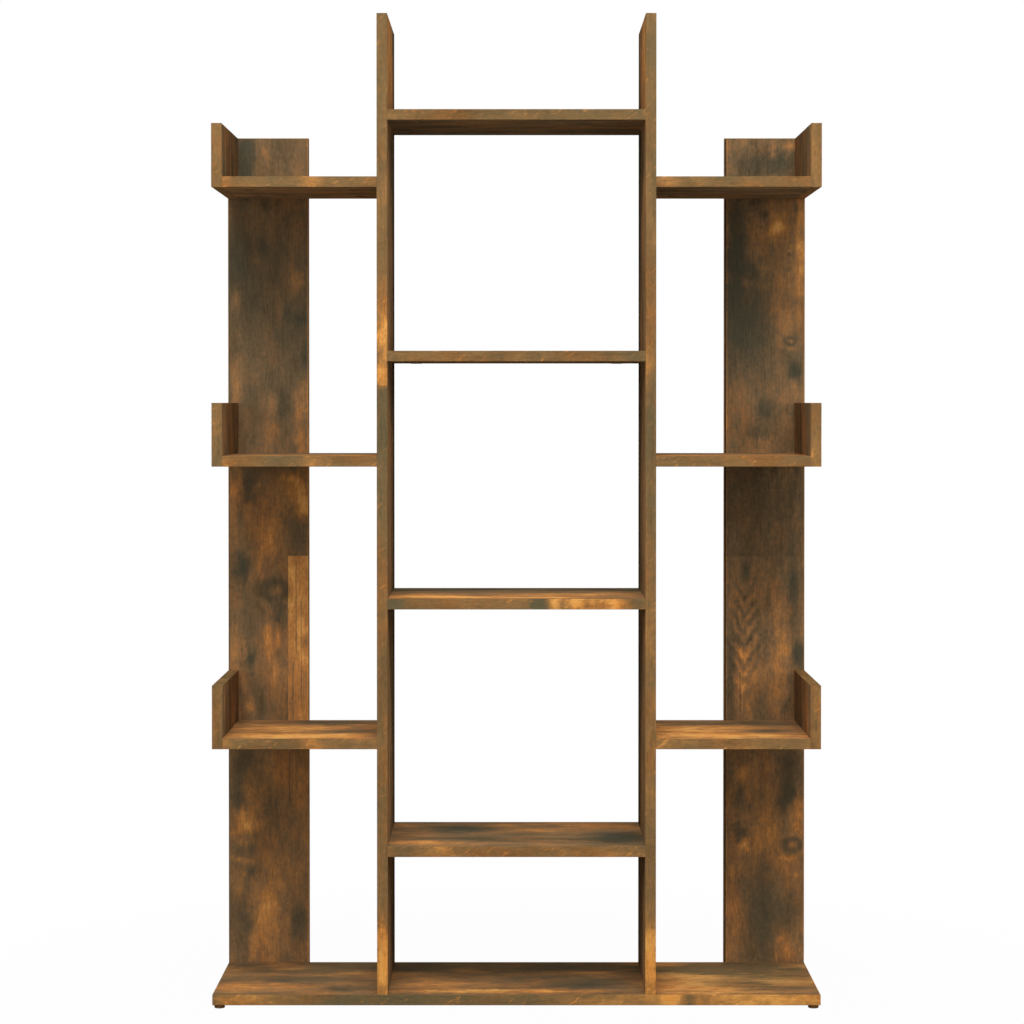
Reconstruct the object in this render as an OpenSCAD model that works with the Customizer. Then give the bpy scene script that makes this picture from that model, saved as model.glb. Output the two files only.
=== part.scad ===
// Open bookcase with staggered shelves, in edged board. A base carries two uprights, four shelves
// span between them, and on each side three shelves reach out to an end lip and a back panel.
// Millimetres. X runs across the front, Y from front to back and Z up. The origin is on the floor
// under the middle of the overall box.

/* [Overall] */
// Width across the end lips on the two sides
overall_w = 860; // [780:10:1000]
// Height from the underside of the base to the top of the uprights
boards_h = 1400; // [1360:10:1600]
// Depth of the boards from front to back, without the back panels
board_d = 240; // [220:10:320]
// Thickness of every board
board_t = 15; // [15:1:19]
// Width of each back panel
back_panel_w = 120; // [100:5:150]

/* [Centre bays] */
// Clear width between the uprights
centre_w = 364; // [320:4:400]
// Clear height of the lowest centre bay
centre_bay_1 = 195; // [160:5:240]
// Clear height of the second centre bay
centre_bay_2 = 335; // [300:5:370]
// Clear height of the third centre bay
centre_bay_3 = 335; // [300:5:370]
// Clear height of the highest closed centre bay
centre_bay_4 = 325; // [290:5:360]

/* [Side bays] */
// Clear height of the lowest side bay
side_bay_1 = 347.5; // [310:2.5:380]
// Clear height of the second side bay
side_bay_2 = 384; // [350:2:410]
// Clear height of the third side bay
side_bay_3 = 379; // [350:1:410]
// Height of an end lip, from the underside of its shelf
lip_h = 90; // [60:5:120]

/* [Edging] */
// Thickness of the edging strips
edge_t = 0.8; // [0.4:0.1:2]

/* [Feet] */
// Diameter of a nail-on glide
foot_d = 15; // [12:1:24]
// Height of a nail-on glide
foot_h = 5; // [3:0.5:10]
// Distance from a corner glide's rim to the edges of the base
foot_inset = 2; // [0:0.5:10]
// Diameter of a glide's nail
nail_d = 2; // [1.4:0.2:3]
// Depth of a glide's nail in the base
nail_in_base = 10; // [6:1:12]

/* [Cam fittings] */
// Diameter of a cam
cam_d = 15; // [15:0.5:16]
// Height of a cam above the axis of its bolt
cam_over = 4.5; // [4.5:0.1:5]
// Distance from the end of a shelf to the middle of its cam
cam_setback = 34; // [30:1:40]
// Diameter of a cam bolt's shank and head
bolt_d = 7; // [6:0.5:7.5]
// Diameter of a cam bolt's thread
bolt_thread_d = 5; // [4.5:0.5:6]
// Length of a cam bolt's thread, in the face of a board
bolt_thread_l = 11; // [8:0.5:12]
// Diameter of a cap over a cam
cam_cap_d = 17; // [17:0.5:20]
// Thickness of a cap over a cam
cam_cap_t = 0.8; // [0.6:0.1:2]

/* [Dowels] */
// Diameter of a dowel
dowel_d = 8; // [6:1:10]
// Length of a dowel
dowel_l = 30; // [25:1:35]
// Depth of a dowel in the face of a board
dowel_in_face = 10; // [8:0.5:12]

/* [Drilling pattern] */
// Distance from a board's long edges to the bolts of a centre shelf and the screws of an upright
centre_setback = 37; // [30:1:40]
// Distance from a board's long edges to the bolts of a side shelf, clear of the centre ones
side_setback = 53; // [52:1:54]
// Distance from a bolt or screw to the dowel beside it
dowel_step = 32; // [31:1:33]

/* [Screws] */
// Diameter of the screws from the base into the uprights
base_screw_d = 7; // [5:0.5:8]
// Length of the screws from the base into the uprights
base_screw_l = 50; // [40:5:70]
// Diameter of the heads of the screws under the base
base_screw_head_d = 10; // [9:0.5:14]
// Diameter of the screws through the back panels
panel_screw_d = 4; // [3:0.5:5]
// Length of the screws through the back panels
panel_screw_l = 35; // [30:1:40]
// Diameter of the heads of the screws in the back panels
panel_screw_head_d = 8; // [7:0.5:10]
// Distance from the inner edge of a back panel to its first row of screws
panel_screw_inner = 25; // [20:1:40]
// Distance from the outer edge of a back panel to its second row of screws
panel_screw_outer = 40; // [30:1:50]

/* [Hidden] */
// Radial clearance of a fastener in its hole
clear = 0.1;
// Spare depth at the bottom of a blind hole
spare = 0.5;
// How far a cut runs past the face that it opens
overrun = 1;
// Rounding of an edging strip's long corners, as a share of its thickness
edge_round_share = 0.8;
// Rounding under a glide
foot_round = 1;
// Depth of a nail in its glide, and the length of its point
nail_in_foot = 2.5;
nail_tip = 2;
// Cam bolt: neck, length of its head, and pitch of its thread
bolt_neck_d = 4;
bolt_head_l = 2.5;
bolt_pitch = 2.2;
// Room for the bolt's head inside a cam
cam_chamber_d = 11;
// Driver cross in a cam, and the peg that holds a cap in it
cam_cross_l = 8;
cam_cross_w = 1.8;
cam_cross_deep = 2;
cam_cap_peg_l = 1.6;
// Bevel on the ends of a dowel
dowel_bevel = 1;
// Screws into the uprights: plain shank, pitch, point, and the socket in the head
base_screw_shank = 12;
base_screw_pitch = 3;
base_screw_tip = 5;
base_screw_socket_d = 4.6;
base_screw_socket_deep = 3;
// Screws through the back panels: plain shank, pitch, point, and the cross in the head
panel_screw_shank = 12;
panel_screw_pitch = 1.8;
panel_screw_tip = 4;
panel_screw_cross_l = 4;
panel_screw_cross_w = 0.9;
panel_screw_cross_deep = 1.4;
// Core of a thread, as a share of its outer diameter
thread_core_share = 0.68;

// Faces and heights that follow
base_top = foot_h + board_t;
y_front = -(board_d + board_t) / 2;
y_rear = y_front + board_d;
upright_in = centre_w / 2;
upright_out = upright_in + board_t;
lip_out = overall_w / 2;
lip_in = lip_out - board_t;
back_panel_in = lip_out - back_panel_w;
half_t = board_t / 2;
cam_h = half_t + cam_over;
edge_r = edge_t * edge_round_share;
centre_bays = [centre_bay_1, centre_bay_2, centre_bay_3, centre_bay_4];
side_bays = [side_bay_1, side_bay_2, side_bay_3];

// Underside and middle of shelf i in a column of bays. The lowest shelf is number 1.
function sum_of(bays, i) = i == 0 ? 0 : bays[i - 1] + sum_of(bays, i - 1);
function shelf_z(bays, i) = base_top + sum_of(bays, i) + (i - 1) * board_t;
function shelf_mid_z(bays, i) = shelf_z(bays, i) + half_t;
back_panel_h = shelf_z(side_bays, len(side_bays)) + lip_h - foot_h;

// Colours
wood = [0.44, 0.29, 0.16];
edge_wood = [0.52, 0.37, 0.22];
brown_plastic = [0.22, 0.14, 0.09];
zinc = [0.62, 0.62, 0.64];
steel = [0.72, 0.72, 0.74];
beech = [0.80, 0.65, 0.44];

$fn = 48;

// Which edges of a board carry a strip: its start, its end and its two long sides
LONG_EDGES = [0, 0, 1, 1];
ALL_EDGES = [1, 1, 1, 1];
UPRIGHT_EDGES = [0, 1, 1, 1];

// Names of the pieces
SIDES = ["left", "right"];
CENTRE_ROW = [for (i = [1:len(centre_bays)]) i];
SIDE_ROW = [for (i = [1:len(side_bays)]) i];
BOARDS = concat(
    ["base_panel"],
    [for (side = SIDES) str(side, "_upright")],
    [for (i = CENTRE_ROW) str("centre_shelf_", i)],
    [for (side = SIDES, i = SIDE_ROW) str(side, "_shelf_", i)],
    [for (side = SIDES, i = SIDE_ROW) str(side, "_end_lip_", i)],
    [for (side = SIDES) str(side, "_back_panel")]
);
ROWS = ["centre", "left", "right"];
FITTINGS = ["cams", "cam_bolts", "cam_caps", "dowels"];

// Section of an edging strip, with its inner face at x = 0
module edge_section() {
    difference() {
        square([edge_t, board_t]);
        for (y = [0, board_t])
            translate([edge_t - edge_r, y]) mirror([0, y == 0 ? 0 : 1]) difference() {
                translate([0, -overrun]) square(edge_r + overrun);
                translate([0, edge_r]) circle(edge_r);
            }
    }
}

// A board lies with its length along X, its width along Y and its thickness along Z
module board_core(length, width, edges) {
    translate([edges[0] * edge_t, edges[2] * edge_t, 0])
        cube([
            length - (edges[0] + edges[1]) * edge_t,
            width - (edges[2] + edges[3]) * edge_t,
            board_t
        ]);
}

// The strips on a board's edges. Those on its long sides cover the ends of the others.
module board_edging(length, width, edges) {
    short_w = width - (edges[2] + edges[3]) * edge_t;
    for (far = [0, 1])
        if (edges[2 + far] == 1)
            translate([0, far * width, 0]) mirror([0, 1 - far, 0]) translate([0, -edge_t, 0])
                rotate([90, 0, 90]) linear_extrude(length) edge_section();
    for (far = [0, 1])
        if (edges[far] == 1)
            translate([far * length, edges[2] * edge_t + short_w, 0]) mirror([1 - far, 0, 0])
                translate([-edge_t, 0, 0]) rotate([90, 0, 0])
                    linear_extrude(short_w) edge_section();
}

// Lays a board down, with its start at x and its underside at z
module lay(x, z) {
    translate([x, y_front, z]) children();
}

// Stands a board up, with its outer face at x and its lower end at z
module stand(x, z) {
    translate([x, y_front, z]) rotate([0, -90, 0]) children();
}

// Stands a board up behind the others, with its inner edge at x
module stand_behind(x) {
    translate([x, y_rear, foot_h]) rotate([0, -90, -90]) children();
}

// Places what is made for the right side on the side that is named
module on_side(side) {
    if (side == "left") mirror([1, 0, 0]) children();
    else children();
}

module on_both_sides() {
    for (side = SIDES) on_side(side) children();
}

// Places a pair along the depth of the boards
module pair(setback) {
    for (y = [y_front + setback, y_rear - setback]) translate([0, y, 0]) children();
}

// Joints of the shelves, made for the right side. The origin is on the shelf's end at the middle
// of its thickness, and X points into the board that the end meets.
module centre_joint(i) {
    translate([upright_in, 0, shelf_mid_z(centre_bays, i)]) children();
}

module inner_joint(i) {
    translate([upright_out, 0, shelf_mid_z(side_bays, i)]) mirror([1, 0, 0]) children();
}

module outer_joint(i) {
    translate([lip_in, 0, shelf_mid_z(side_bays, i)]) children();
}

module centre_joints() {
    on_both_sides() for (i = CENTRE_ROW) centre_joint(i) children();
}

module side_joints(side) {
    on_side(side) for (i = SIDE_ROW) {
        inner_joint(i) children();
        outer_joint(i) children();
    }
}

// Joint of the right upright on the base, with its origin on top of the base
module upright_joint() {
    translate([upright_in + half_t, 0, base_top]) children();
}

// Places the two screws of the right back panel at a height, with Z forwards from its rear face
module panel_screw_places(z) {
    for (x = [back_panel_in + panel_screw_inner, lip_out - panel_screw_outer])
        translate([x, y_rear + board_t, z]) rotate([90, 0, 0]) children();
}

panel_screw_zs = concat([foot_h + half_t], [for (i = SIDE_ROW) shelf_mid_z(side_bays, i)]);

// Places the glides: one near each corner of the base, and one under each upright
module foot_places() {
    corner = foot_inset + foot_d / 2;
    on_both_sides() {
        pair(corner) translate([lip_out - corner, 0, 0]) children();
        translate([upright_in + half_t, y_front + board_d / 2, 0]) children();
    }
}

// Round hole along X
module hole_x(x0, x1, d) {
    translate([x0, 0, 0]) rotate([0, 90, 0]) cylinder(d = d, h = x1 - x0);
}

// Cuts in the end of a shelf
module shelf_end_cuts(setback) {
    pair(setback) {
        translate([-cam_setback, 0, -half_t - overrun])
            cylinder(d = cam_d + 2 * clear, h = cam_h + spare + overrun);
        hole_x(-cam_setback, overrun, bolt_d + 2 * clear);
    }
    pair(setback + dowel_step)
        hole_x(dowel_in_face - dowel_l - spare, overrun, dowel_d + 2 * clear);
}

// Cuts in the face of the board that the end of a shelf meets
module face_cuts(setback) {
    pair(setback) hole_x(-overrun, bolt_thread_l + spare, bolt_thread_d + 2 * clear);
    pair(setback + dowel_step) hole_x(-overrun, dowel_in_face + spare, dowel_d + 2 * clear);
}

// Cut for a countersunk screw along Z that enters at zero
module screw_cut(d, head_d, length) {
    head_hole_d = head_d + 2 * clear;
    translate([0, 0, -overrun]) {
        cylinder(d = d + 2 * clear, h = length + spare + overrun);
        cylinder(d = head_hole_d, h = overrun);
    }
    cylinder(d1 = head_hole_d, d2 = d, h = (head_hole_d - d) / 2);
}

module panel_screw_cuts(z) {
    panel_screw_places(z) screw_cut(panel_screw_d, panel_screw_head_d, panel_screw_l);
}

module upright_joint_cuts() {
    upright_joint() {
        pair(centre_setback) translate([0, 0, -board_t])
            screw_cut(base_screw_d, base_screw_head_d, base_screw_l);
        pair(centre_setback + dowel_step) translate([0, 0, -dowel_in_face - spare])
            cylinder(d = dowel_d + 2 * clear, h = dowel_l + 2 * spare);
    }
}

// Grooves of a thread from z0 to z1 on a turned piece, as radius and height
function thread(z0, z1, d, pitch) = [
    for (i = [0:floor((z1 - z0) / pitch) - 1], groove = [0, 1])
        [d / 2 * (groove == 1 ? thread_core_share : 1), z0 + (i + groove / 2) * pitch]
];

// Countersunk screw along Z, with its head's face at zero
module screw(d, head_d, shank, pitch, tip, length) {
    rotate_extrude() polygon(concat(
        [[0, 0], [head_d / 2, 0], [d / 2, (head_d - d) / 2]],
        thread(shank, length - tip, d, pitch),
        [[d / 2 * thread_core_share, length - tip], [0, length]]
    ));
}

// Driver cross that opens at zero and goes up
module cross(length, width, deep) {
    for (turn = [0, 90])
        rotate([0, 0, turn]) translate([-length / 2, -width / 2, 0]) cube([length, width, deep]);
}

// Cam with its open face at zero. The bolt's neck enters along X, and its head comes in along -Y
// before the cam is turned.
module cam() {
    reach = cam_d / 2 + overrun;
    neck_r = bolt_neck_d / 2 + clear;
    head_r = bolt_d / 2 + clear;
    difference() {
        cylinder(d = cam_d, h = cam_h);
        translate([0, 0, half_t - head_r]) cylinder(d = cam_chamber_d, h = 2 * head_r);
        translate([-neck_r, -reach, half_t - neck_r])
            cube([reach + neck_r, reach + neck_r, 2 * neck_r]);
        translate([0, 0, half_t]) rotate([90, 0, 0]) cylinder(r = head_r, h = reach);
        translate([0, 0, -overrun]) cross(cam_cross_l, cam_cross_w, cam_cross_deep + overrun);
    }
}

// Cam bolt along X with its thread from zero on. Its head bears on the chamber of the cam.
module cam_bolt() {
    head_r = bolt_d / 2;
    head_x = sqrt(pow(cam_chamber_d / 2, 2) - pow(head_r, 2)) - clear - cam_setback;
    neck_end = cam_d / 2 + clear - cam_setback;
    neck_r = bolt_neck_d / 2;
    thread_r = bolt_thread_d / 2;
    rotate([0, 90, 0]) rotate_extrude() polygon(concat(
        [
            [0, head_x - bolt_head_l],
            [head_r, head_x - bolt_head_l],
            [head_r, head_x],
            [neck_r, head_x],
            [neck_r, neck_end],
            [head_r, neck_end],
            [head_r, 0]
        ],
        thread(0, bolt_thread_l, bolt_thread_d, bolt_pitch),
        [[thread_r * thread_core_share, bolt_thread_l], [0, bolt_thread_l]]
    ));
}

// Cap over a cam, with its peg in the driver cross
module cam_cap() {
    translate([0, 0, -cam_cap_t]) cylinder(d1 = cam_cap_d - cam_cap_t, d2 = cam_cap_d, h = cam_cap_t);
    cross(cam_cross_l - 2 * clear, cam_cross_w - 2 * clear, cam_cap_peg_l);
}

// Dowel along Z
module dowel() {
    r = dowel_d / 2;
    rotate_extrude() polygon([
        [0, 0],
        [r - dowel_bevel, 0],
        [r, dowel_bevel],
        [r, dowel_l - dowel_bevel],
        [r - dowel_bevel, dowel_l],
        [0, dowel_l]
    ]);
}

// Fittings of the joints at one end of a shelf
module end_cams(setback) {
    color(zinc) pair(setback) translate([-cam_setback, 0, -half_t]) cam();
}

module end_cam_bolts(setback) {
    color(steel) pair(setback) cam_bolt();
}

module end_cam_caps(setback) {
    color(brown_plastic) pair(setback) translate([-cam_setback, 0, -half_t]) cam_cap();
}

module end_dowels(setback) {
    color(beech) pair(setback + dowel_step)
        translate([dowel_in_face - dowel_l, 0, 0]) rotate([0, 90, 0]) dowel();
}

module end_fittings(fitting, setback) {
    if (fitting == "cams") end_cams(setback);
    if (fitting == "cam_bolts") end_cam_bolts(setback);
    if (fitting == "cam_caps") end_cam_caps(setback);
    if (fitting == "dowels") end_dowels(setback);
}

module shelf_fittings(row, fitting) {
    if (row == "centre") centre_joints() end_fittings(fitting, centre_setback);
    else side_joints(row) end_fittings(fitting, side_setback);
}

// Base
module base_cuts() {
    on_both_sides() {
        upright_joint_cuts();
        panel_screw_cuts(panel_screw_zs[0]);
    }
    foot_places() translate([0, 0, foot_h - overrun])
        cylinder(d = nail_d + 2 * clear, h = nail_in_base + spare + overrun);
}

module base_panel() {
    color(wood) difference() {
        lay(-lip_out, foot_h) board_core(overall_w, board_d, ALL_EDGES);
        base_cuts();
    }
}

module base_panel_edging() {
    color(edge_wood) difference() {
        lay(-lip_out, foot_h) board_edging(overall_w, board_d, ALL_EDGES);
        base_cuts();
    }
}

// Uprights
upright_l = boards_h - board_t;

module upright(side) {
    color(wood) on_side(side) difference() {
        stand(upright_out, base_top) board_core(upright_l, board_d, UPRIGHT_EDGES);
        upright_joint_cuts();
        for (i = CENTRE_ROW) centre_joint(i) face_cuts(centre_setback);
        for (i = SIDE_ROW) inner_joint(i) face_cuts(side_setback);
    }
}

module upright_edging(side) {
    color(edge_wood) on_side(side)
        stand(upright_out, base_top) board_edging(upright_l, board_d, UPRIGHT_EDGES);
}

// Shelves between the uprights
module centre_shelf(i) {
    color(wood) difference() {
        lay(-upright_in, shelf_z(centre_bays, i)) board_core(centre_w, board_d, LONG_EDGES);
        on_both_sides() centre_joint(i) shelf_end_cuts(centre_setback);
    }
}

module centre_shelf_edging(i) {
    color(edge_wood)
        lay(-upright_in, shelf_z(centre_bays, i)) board_edging(centre_w, board_d, LONG_EDGES);
}

// Shelves from an upright to an end lip
side_shelf_l = lip_in - upright_out;

module side_shelf(side, i) {
    color(wood) on_side(side) difference() {
        lay(upright_out, shelf_z(side_bays, i)) board_core(side_shelf_l, board_d, LONG_EDGES);
        inner_joint(i) shelf_end_cuts(side_setback);
        outer_joint(i) shelf_end_cuts(side_setback);
        panel_screw_cuts(panel_screw_zs[i]);
    }
}

module side_shelf_edging(side, i) {
    color(edge_wood) on_side(side) difference() {
        lay(upright_out, shelf_z(side_bays, i)) board_edging(side_shelf_l, board_d, LONG_EDGES);
        panel_screw_cuts(panel_screw_zs[i]);
    }
}

// Lips over the ends of the side shelves
module end_lip(side, i) {
    color(wood) on_side(side) difference() {
        stand(lip_out, shelf_z(side_bays, i)) board_core(lip_h, board_d, ALL_EDGES);
        outer_joint(i) face_cuts(side_setback);
    }
}

module end_lip_edging(side, i) {
    color(edge_wood) on_side(side)
        stand(lip_out, shelf_z(side_bays, i)) board_edging(lip_h, board_d, ALL_EDGES);
}

// Back panels
module back_panel(side) {
    color(wood) on_side(side) difference() {
        stand_behind(back_panel_in) board_core(back_panel_h, back_panel_w, ALL_EDGES);
        for (z = panel_screw_zs) panel_screw_cuts(z);
    }
}

module back_panel_edging(side) {
    color(edge_wood) on_side(side)
        stand_behind(back_panel_in) board_edging(back_panel_h, back_panel_w, ALL_EDGES);
}

// Screws and dowels of the uprights
module upright_screws() {
    color(steel) on_both_sides() upright_joint() pair(centre_setback)
        translate([0, 0, -board_t]) difference() {
            screw(base_screw_d, base_screw_head_d, base_screw_shank, base_screw_pitch,
                base_screw_tip, base_screw_l);
            translate([0, 0, -overrun])
                cylinder(d = base_screw_socket_d, h = base_screw_socket_deep + overrun, $fn = 6);
        }
}

module upright_dowels() {
    color(beech) on_both_sides() upright_joint() pair(centre_setback + dowel_step)
        translate([0, 0, -dowel_in_face]) dowel();
}

// Screws of the back panels
module back_panel_screws() {
    color(steel) on_both_sides() for (z = panel_screw_zs) panel_screw_places(z) difference() {
        screw(panel_screw_d, panel_screw_head_d, panel_screw_shank, panel_screw_pitch,
            panel_screw_tip, panel_screw_l);
        translate([0, 0, -overrun])
            cross(panel_screw_cross_l, panel_screw_cross_w, panel_screw_cross_deep + overrun);
    }
}

// Glides and their nails
module feet() {
    r = foot_d / 2;
    color(brown_plastic) foot_places() difference() {
        rotate_extrude() {
            square([r - foot_round, foot_h]);
            translate([0, foot_round]) square([r, foot_h - foot_round]);
            translate([r - foot_round, foot_round]) circle(foot_round);
        }
        translate([0, 0, foot_h - nail_in_foot])
            cylinder(d = nail_d + 2 * clear, h = nail_in_foot + overrun);
    }
}

module foot_nails() {
    r = nail_d / 2;
    color(steel) foot_places() translate([0, 0, foot_h]) rotate_extrude() polygon([
        [0, -nail_in_foot],
        [r, -nail_in_foot],
        [r, nail_in_base - nail_tip],
        [0, nail_in_base]
    ]);
}

base_panel();
base_panel_edging();
for (side = SIDES) {
    upright(side);
    upright_edging(side);
    back_panel(side);
    back_panel_edging(side);
}
for (i = CENTRE_ROW) {
    centre_shelf(i);
    centre_shelf_edging(i);
}
for (side = SIDES, i = SIDE_ROW) {
    side_shelf(side, i);
    side_shelf_edging(side, i);
    end_lip(side, i);
    end_lip_edging(side, i);
}
for (row = ROWS, fitting = FITTINGS)
    shelf_fittings(row, fitting);
upright_screws();
upright_dowels();
back_panel_screws();
feet();
foot_nails();
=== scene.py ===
import math

import bpy
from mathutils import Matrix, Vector

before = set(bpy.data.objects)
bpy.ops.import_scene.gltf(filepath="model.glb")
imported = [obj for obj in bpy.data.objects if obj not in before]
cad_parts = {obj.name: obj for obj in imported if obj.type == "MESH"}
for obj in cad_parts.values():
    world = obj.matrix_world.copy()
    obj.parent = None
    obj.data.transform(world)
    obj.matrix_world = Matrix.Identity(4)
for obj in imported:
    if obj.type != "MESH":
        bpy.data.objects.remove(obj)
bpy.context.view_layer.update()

WHITE = (1.0, 1.0, 1.0, 1.0)

# Camera: a long lens a little above mid height, turned slightly down
CAMERA_PLACE = (0.0, -4.2215, 0.8596)
CAMERA_TILT = math.radians(0.788)
CAMERA_LENS = 102.122
CAMERA_SHIFT = (-0.00437, -0.0697)

# Soft lamps that face the middle of the bookcase: name, place, width and height, power in watts
LAMP_TARGET = (0.0, 0.0, 0.75)
LAMPS = (
    ("front_lamp", (0.0, -3.6, 2.6), (3.0, 1.6), 38.0),
    ("upper_lamp", (0.0, -2.2, 3.4), (2.6, 1.6), 95.0),
    ("rear_lamp", (0.0, 2.4, 3.4), (3.0, 1.6), 42.0),
    ("front_side_lamp", (-3.2, -1.5, 1.5), (1.4, 1.8), 25.0),
    ("side_lamp", (-3.4, -0.7, 1.5), (1.0, 1.8), 17.0),
    ("front_side_lamp", (3.2, -1.5, 1.5), (1.4, 1.8), 25.0),
    ("side_lamp", (3.4, -0.7, 1.5), (1.0, 1.8), 17.0),
)

# Surroundings: strength of the world's light, and the floor's half width and colour. The floor
# shows a share of the shadow, which fades out between two distances from its middle.
WORLD_LIGHT = 0.06
FLOOR_HALF = 6.0
FLOOR_COLOUR = (172, 171, 168)
SHADOW_SHARE = 0.02
SHADOW_REACH = (0.45, 1.2)

# Sockets of the Mix node, whose names repeat: both inputs and the output for each kind of value
MIX_SOCKETS = {"VECTOR": (4, 5, 1), "RGBA": (6, 7, 2)}

# Fittings: noise as scale per metre along each axis and detail, the places of a dark and a light
# colour on it, roughness as spread and least value, and bumps as strength and depth
TONE_PLACES = (0.3, 0.7)
PLASTIC_NOISE = ((900.0, 900.0, 900.0), 3.0)
PLASTIC_ROUGHNESS = (0.2, 0.55)
PLASTIC_BUMP = (0.2, 0.0002)
TURNING_NOISE = ((700.0, 700.0, 2600.0), 4.0)
PLATED_SPREAD = 0.22
PLATED_BUMP = (0.15, 0.0001)
BEECH_TONES = ((182, 140, 92), (214, 178, 128))
BEECH_NOISE = ((90.0, 1200.0, 1200.0), 4.0)
BEECH_ROUGHNESS = (0.2, 0.55)
BEECH_BUMP = (0.3, 0.0002)

# Noise of the oak decor: scale per metre across, across and along the grain, detail, roughness
OAK_NOISE = {
    "broad": ((26.0, 26.0, 10.0), 4.0, 0.60),
    "cloud": ((75.0, 75.0, 38.0), 4.0, 0.60),
    "mottle": ((210.0, 210.0, 170.0), 3.0, 0.60),
    "streak": ((120.0, 120.0, 12.0), 4.0, 0.62),
    "fine": ((450.0, 450.0, 22.0), 3.0, 0.60),
    "pores": ((1500.0, 1500.0, 70.0), 2.0, 0.55),
    "mossy": ((20.0, 20.0, 6.0), 5.0, 0.62),
    "rust": ((24.0, 24.0, 9.0), 4.0, 0.60),
    "sway": ((6.0, 6.0, 4.0), 3.0, 0.55),
    "ragged": ((55.0, 55.0, 38.0), 5.0, 0.65),
    "fleck": ((60.0, 60.0, 230.0), 2.0, 0.55),
}
# Those that make up its marks, which lie along the grain
OAK_MARKS = ("broad", "cloud", "mottle", "streak", "fine", "pores", "mossy")
# Middle of its tone, and how much each of the finer marks adds to it
OAK_TONE = 0.44
FINER_SHARES = {"cloud": 0.34, "mottle": 0.34, "streak": 0.26, "fine": 0.12}
# Middle of its moss, and how much the mossy noise and the streaks add to it
OAK_MOSS = -0.10
MOSS_SWING = 3.0
STREAK_MOSS = 0.7
# Levels between which the noise turns to rust and to moss, and the most that moss covers
RUST_LEVELS = (0.46, 0.66)
MOSS_LEVELS = (-0.25, 0.95)
MOSS_COVER = 0.85
# Flecks: the levels between which they appear, their slant, and their moss for a unit of light
FLECK_LEVELS = (0.60, 0.76)
FLECK_SLANT = math.radians(35.0)
FLECK_MOSS = -2.0
# Shade in the pores and in the fine grain: two levels of the noise, then the shade at each
PORE_SHADE = (0.36, 0.52, 0.82, 1.0)
FINE_SHADE = (0.30, 0.52, 0.88, 1.0)
# Surface of the decor: roughness as spread and least value, heights of pores and fine grain, and
# the bump's strength and depth
OAK_ROUGHNESS = (0.14, 0.46)
PORE_HEIGHT = 0.6
FINE_HEIGHT = 0.4
OAK_BUMP = (0.22, 0.00035)
# How far a board's seed and a plank's jump move the pattern, and how far it sways, along each axis
SEED_SHARES = (1.0, 1.7, 0.6)
JUMP_SHARES = (1.0, 2.3, 1.4)
SWAY_REACH = (0.024, 0.024, 0.0)
# Strength of the placed patches, as a gain on the clouds and a least value
PATCH_STRENGTH = (1.6, 0.2)
# Soft edges of patches and arches, as the distances in radii at which they begin and are full
PATCH_EDGE = (1.7, 0.0)
ARCH_EDGE = (1.2, 0.5)
# Knots: height as a share of width, where in radii they begin to draw in the grain and do it most,
# how much, then the soft inside and outside of their rims, and the tone and moss on those
KNOT_FLATTENING = 0.75
KNOT_REACH = (2.6, 0.2)
KNOT_PULL = -0.55
KNOT_RIM_INSIDE = (0.1, 0.7)
KNOT_RIM_OUTSIDE = (1.5, 0.75)
KNOT_TONE = -0.20
KNOT_MOSS = 0.35
# A surface faces along the grain where its normal has more than this share along it
FACING_SHARE = 0.7

# Smoked-oak decor, from its dark veins to its lightest streaks, as place on the ramp and colour
FACE_TONES = (
    (0.00, (60, 54, 43)),
    (0.20, (92, 79, 58)),
    (0.42, (127, 104, 75)),
    (0.60, (160, 119, 78)),
    (0.80, (202, 140, 79)),
    (1.00, (238, 176, 99)),
)
EDGE_TONES = (
    (0.00, (72, 63, 43)),
    (0.20, (104, 86, 57)),
    (0.42, (136, 104, 66)),
    (0.60, (160, 117, 70)),
    (0.80, (201, 141, 75)),
    (1.00, (232, 168, 88)),
)
# Its greyish green on faces and on edging strips, and the tint of its reddish parts
FACE_MOSS = (76, 76, 62)
EDGE_MOSS = (94, 92, 68)
RUST_TINT = (255, 234, 216)

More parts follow.
